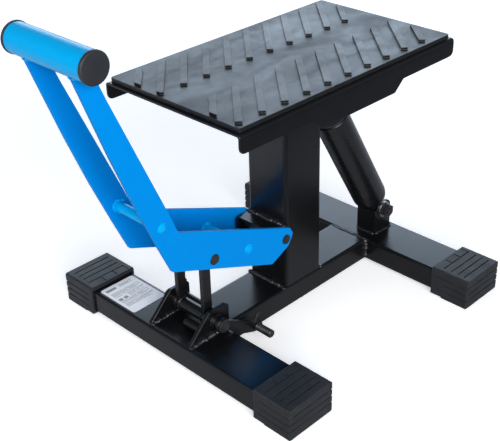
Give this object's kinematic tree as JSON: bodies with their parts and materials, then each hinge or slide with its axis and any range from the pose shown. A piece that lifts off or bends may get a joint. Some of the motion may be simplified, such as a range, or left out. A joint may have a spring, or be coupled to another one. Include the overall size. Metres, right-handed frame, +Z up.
{
  "type": "paddock stand",
  "caption": "Foot-lever lift stand for off-road motorcycles: ribbed-mat platform on a telescopic column, H-shaped base with rubber feet, blue lever with linkage and a hydraulic damper.",
  "frame": {"origin": "on the floor, under the middle of the overall length and width", "axes": "+Z up; +X along the base beam from the lever crossbar to the damper crossbar; +Y across, along the crossbars, away from the latch side"},
  "size_m": [0.5106, 0.389, 0.4327],
  "materials": {
    "powder_black": "satin black powder coat",
    "powder_blue": "bright blue powder coat",
    "rubber": "moulded dark grey rubber",
    "cap_plastic": "moulded black plastic",
    "zinc_steel": "bright zinc-plated steel",
    "dark_steel": "blackened steel",
    "nylon": "natural nylon",
    "label": "white adhesive label"
  },
  "bodies": {
    "base": {"front_crossbar": "powder_black", "rear_crossbar": "powder_black", "base_beam": "powder_black", "foot_front_near": "rubber", "foot_front_far": "rubber", "foot_rear_near": "rubber", "foot_rear_far": "rubber", "inner_post": "powder_black", "upper_guide_bush": "nylon", "ear_near": "powder_black", "ear_far": "powder_black", "link_stop_bar": "powder_black", "stop_stub": "powder_black", "link_pivot_shaft": "dark_steel", "pivot_washer": "powder_black", "shaft_retainer": "dark_steel", "rating_plate": "label", "damper_clevis": "powder_black", "damper_lower_bolt": "dark_steel", "damper_lower_washer": "zinc_steel", "damper_lower_nut": "dark_steel"},
    "platform": {"outer_column": "powder_black", "lower_guide_bush": "nylon", "platform_channel": "powder_black", "rubber_mat": "rubber", "lever_bracket": "powder_black", "lever_pivot_pin": "dark_steel", "lever_pin_washer_near": "zinc_steel", "lever_pin_washer_far": "zinc_steel", "damper_hanger": "powder_black", "damper_upper_bolt": "dark_steel", "damper_upper_nut": "dark_steel"},
    "lever": {"lever_plate_near": "powder_blue", "lever_plate_far": "powder_blue", "upper_cross_rod": "powder_blue", "lower_cross_rod": "powder_blue", "foot_tube": "powder_blue", "tube_cap_near": "cap_plastic", "tube_cap_far": "cap_plastic", "link_rivet_near": "dark_steel", "link_rivet_far": "dark_steel"},
    "links": {"link_pivot_tube": "powder_black", "link_near": "powder_black", "link_far": "powder_black", "link_spindle": "dark_steel"},
    "latch": {"latch_arm": "powder_black", "latch_stud": "dark_steel", "latch_spring_wire": "dark_steel"},
    "damper_cylinder": {"damper_body": "powder_black", "damper_lower_eye": "dark_steel", "damper_gland": "cap_plastic"},
    "damper_piston_rod": {"damper_rod": "zinc_steel", "damper_piston": "dark_steel", "damper_upper_eye": "dark_steel"}
  },
  "joints": [
    {"name": "platform_lift", "type": "slide", "parent": "base", "child": "platform", "axis": [0, 0, 1], "range_m": [0, 0.11]},
    {"name": "lever_swing", "type": "hinge", "parent": "platform", "child": "lever", "pos_m": [0.02625, 0, 0.1125], "axis": [0, -1, 0], "range_deg": [0, 68.6]},
    {"name": "link_swing", "type": "hinge", "parent": "base", "child": "links", "pos_m": [-0.09025, 0, 0.052], "axis": [0, 1, 0], "range_deg": [0, 34.5]},
    {"name": "damper_swing", "type": "hinge", "parent": "base", "child": "damper_cylinder", "pos_m": [0.22575, -0.016, 0.0675], "axis": [0, 1, 0], "range_deg": [0, 11.1]},
    {"name": "damper_stroke", "type": "slide", "parent": "damper_cylinder", "child": "damper_piston_rod", "axis": [-0.5039, 0, 0.8638], "range_m": [0, 0.10034]},
    {"name": "latch_press", "type": "hinge", "parent": "base", "child": "latch", "pos_m": [-0.09025, 0, 0.052], "axis": [0, 1, 0], "range_deg": [0, 10], "stiffness_Nm_per_rad": 0.6, "springref_deg": -20.05}
  ],
  "couplings": [
    {"joint": "lever_swing", "follows": "platform_lift", "rad_per_m": 10.869},
    {"joint": "link_swing", "follows": "platform_lift", "rad_per_m": 5.4581},
    {"joint": "damper_swing", "follows": "platform_lift", "rad_per_m": 1.743},
    {"joint": "damper_stroke", "follows": "platform_lift", "ratio": 0.90943}
  ]
}
